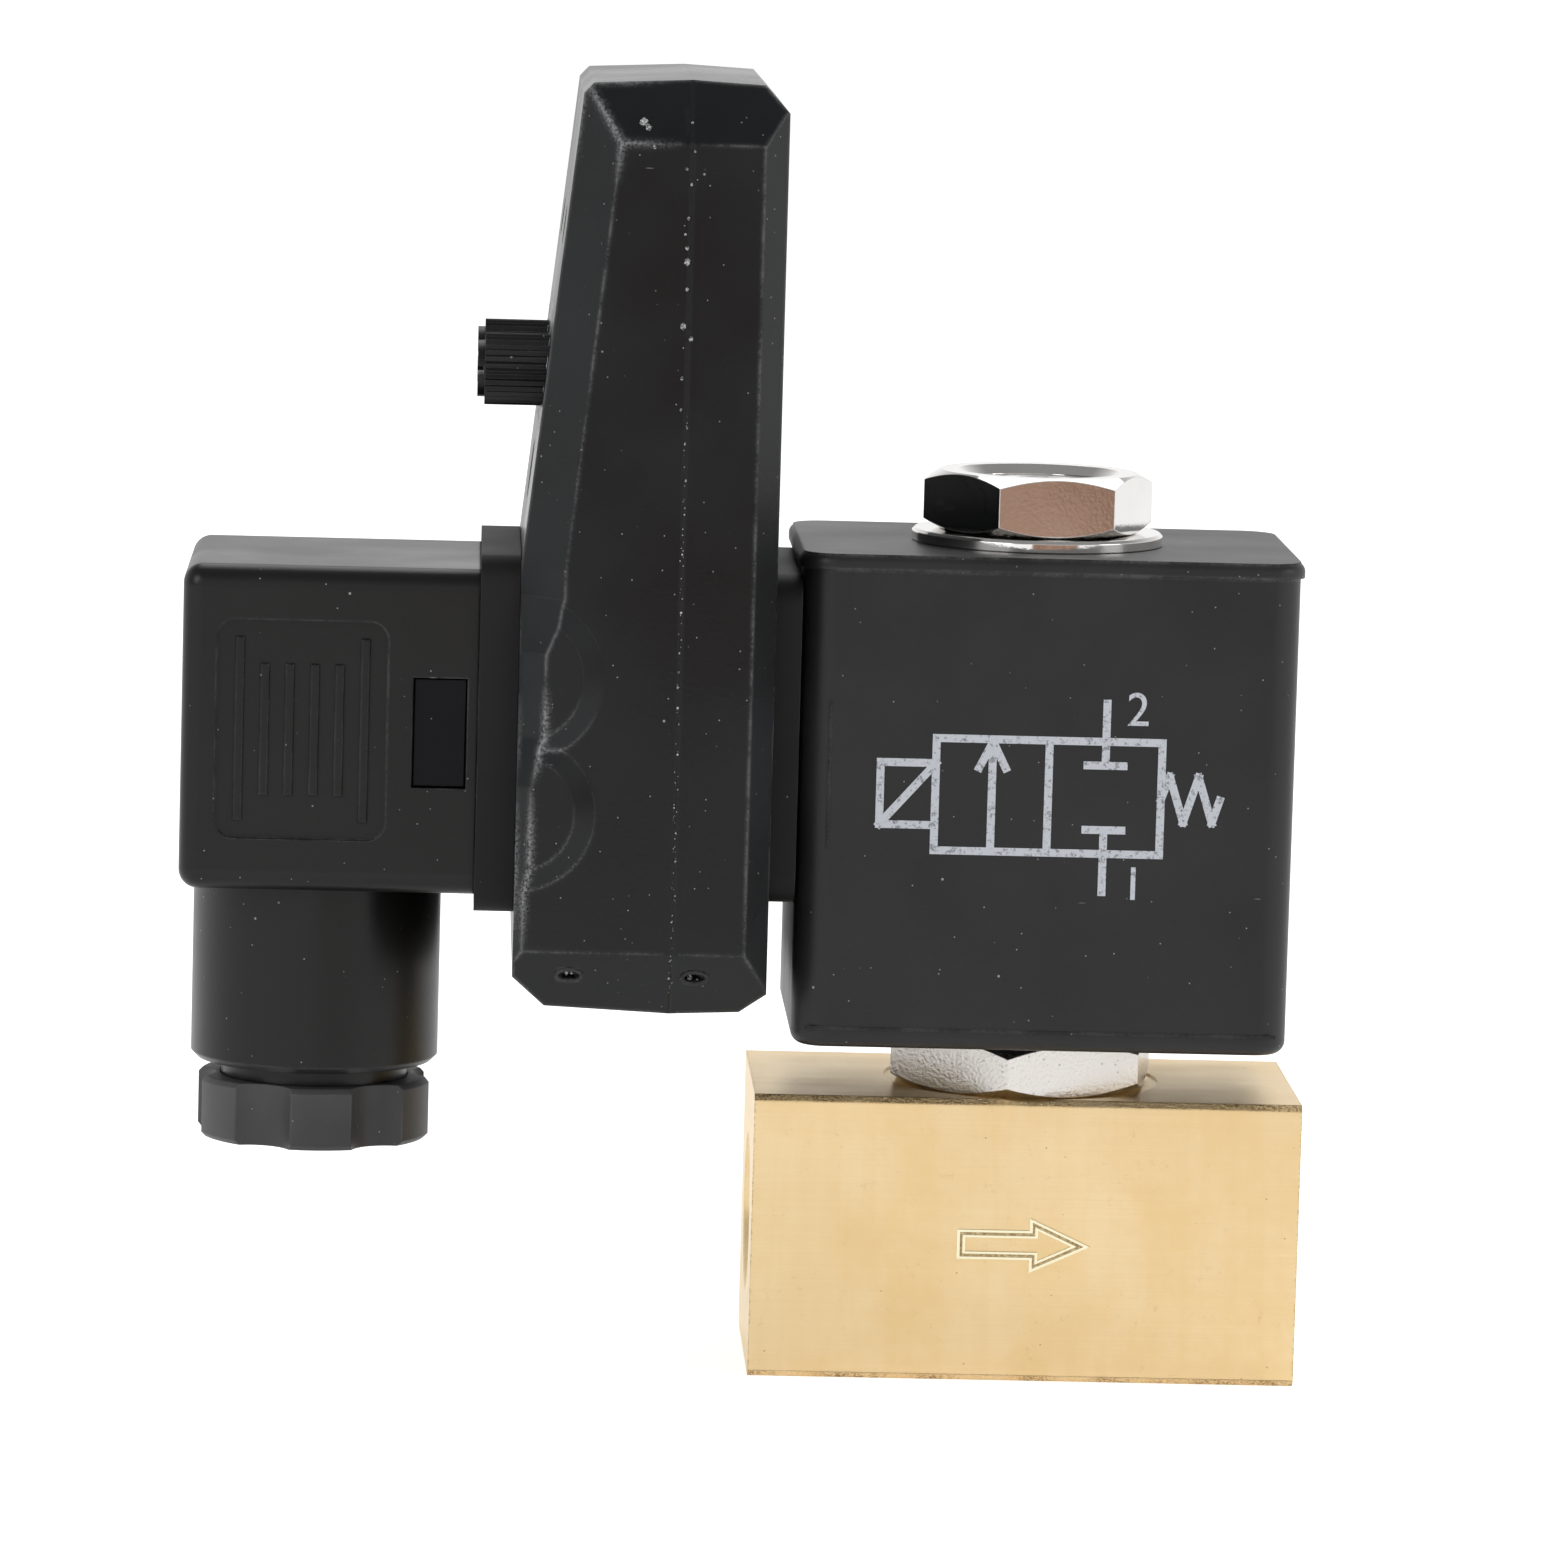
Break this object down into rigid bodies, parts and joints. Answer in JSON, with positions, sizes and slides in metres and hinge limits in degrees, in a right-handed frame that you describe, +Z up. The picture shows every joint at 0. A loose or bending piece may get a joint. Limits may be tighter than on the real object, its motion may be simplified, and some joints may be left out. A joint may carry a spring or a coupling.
{
  "type": "automatic drain valve",
  "caption": "Timer-controlled solenoid drain valve: brass two-way body, clamped coil, slab-shaped timer and a square cable plug with a gland.",
  "frame": {"origin": "bottom centre of the brass body, on the solenoid's axis", "axes": "+Z up along the solenoid's axis, +X along the flow from inlet to outlet, +Y away from the side with the arrow"},
  "size_m": [0.0945, 0.041, 0.1087],
  "materials": {
    "brass": "brushed bar, lightly tarnished",
    "nickel": "bright nickel plate",
    "stainless": "turned stainless steel",
    "copper": "bare copper",
    "winding": "enamelled copper wire",
    "spring_steel": "drawn spring wire",
    "yoke_steel": "zinc plated steel",
    "coil_black": "matt moulded encapsulation",
    "case_black": "satin moulded plastic",
    "plug_black": "satin glass-filled nylon",
    "gland_grey": "satin moulded nylon",
    "knob_black": "satin moulded plastic",
    "button_red": "gloss moulded plastic",
    "bobbin_plastic": "natural nylon",
    "insert_plastic": "satin nylon",
    "rubber": "matt nitrile rubber",
    "board_green": "solder-masked board",
    "component_black": "moulded epoxy",
    "component_yellow": "dipped film capacitor",
    "can_sleeve": "shrink sleeve",
    "trimmer_blue": "moulded trimmer case",
    "lamp_green": "tinted lamp",
    "lamp_red": "tinted lamp",
    "zinc_screw": "zinc plated screw",
    "gland_ring": "natural nylon ring"
  },
  "bodies": {
    "valve": {"valve_body": "brass", "core_tube": "nickel", "body_o_ring": "rubber", "fixed_core": "stainless", "shading_ring": "copper", "coil_washer": "nickel", "coil_nut": "nickel", "plunger_spring": "spring_steel"},
    "plunger": {"plunger": "stainless", "plunger_seal": "rubber"},
    "coil_and_timer": {"coil_housing": "coil_black", "coil_yoke": "yoke_steel", "coil_bobbin": "bobbin_plastic", "coil_winding": "winding", "coil_terminals": "nickel", "coil_screw_insert": "brass", "coil_gasket": "rubber", "timer_back_shell": "case_black", "timer_front_shell": "case_black", "timer_board": "board_green", "board_screws": "zinc_screw", "on_time_trimmer": "trimmer_blue", "off_time_trimmer": "trimmer_blue", "test_switch": "component_black", "power_lamp": "lamp_green", "valve_lamp": "lamp_red", "timer_chip": "component_black", "film_capacitor": "component_yellow", "smoothing_capacitor": "can_sleeve", "triac": "component_black", "timer_sockets": "brass", "timer_blades": "nickel", "plug_gasket": "rubber", "plug_housing": "plug_black", "plug_insert": "insert_plastic", "plug_contacts": "brass", "terminal_screws": "zinc_screw", "connector_screw": "zinc_screw", "screw_seal": "rubber", "gland_seal": "rubber"},
    "on_time_knob": {"on_time_knob": "knob_black"},
    "off_time_knob": {"off_time_knob": "knob_black"},
    "test_button": {"test_button": "button_red"},
    "gland_washer": {"gland_washer": "gland_ring"},
    "gland_nut": {"gland_nut": "gland_grey"}
  },
  "joints": [
    {"name": "coil_swivel", "type": "hinge", "parent": "valve", "child": "coil_and_timer", "pos_m": [0, 0, 0.049], "axis": [0, 0, 1], "continuous": true},
    {"name": "plunger_stroke", "type": "slide", "parent": "valve", "child": "plunger", "axis": [0, 0, 1], "range_m": [0, 0.0016], "stiffness_N_per_m": 300, "springref_m": -0.006, "deforming": ["plunger_spring"]},
    {"name": "on_time_turn", "type": "hinge", "parent": "coil_and_timer", "child": "on_time_knob", "pos_m": [-0.045, -0.008, 0.084], "axis": [-1, 0, 0], "range_deg": [-135, 135]},
    {"name": "off_time_turn", "type": "hinge", "parent": "coil_and_timer", "child": "off_time_knob", "pos_m": [-0.045, 0.008, 0.084], "axis": [-1, 0, 0], "range_deg": [-135, 135]},
    {"name": "test_press", "type": "slide", "parent": "coil_and_timer", "child": "test_button", "axis": [1, 0, 0], "range_m": [0, 0.0008], "stiffness_N_per_m": 400, "springref_m": -0.002},
    {"name": "gland_travel", "type": "slide", "parent": "coil_and_timer", "child": "gland_washer", "axis": [0, 0, 1], "range_m": [-0.00075, 0.00125]},
    {"name": "gland_turn", "type": "hinge", "parent": "gland_washer", "child": "gland_nut", "pos_m": [-0.0601, 0, 0.021], "axis": [0, 0, 1], "range_deg": [-180.18, 300.3]}
  ],
  "couplings": [
    {"joint": "gland_turn", "follows": "gland_travel", "rad_per_m": 4188.8}
  ]
}
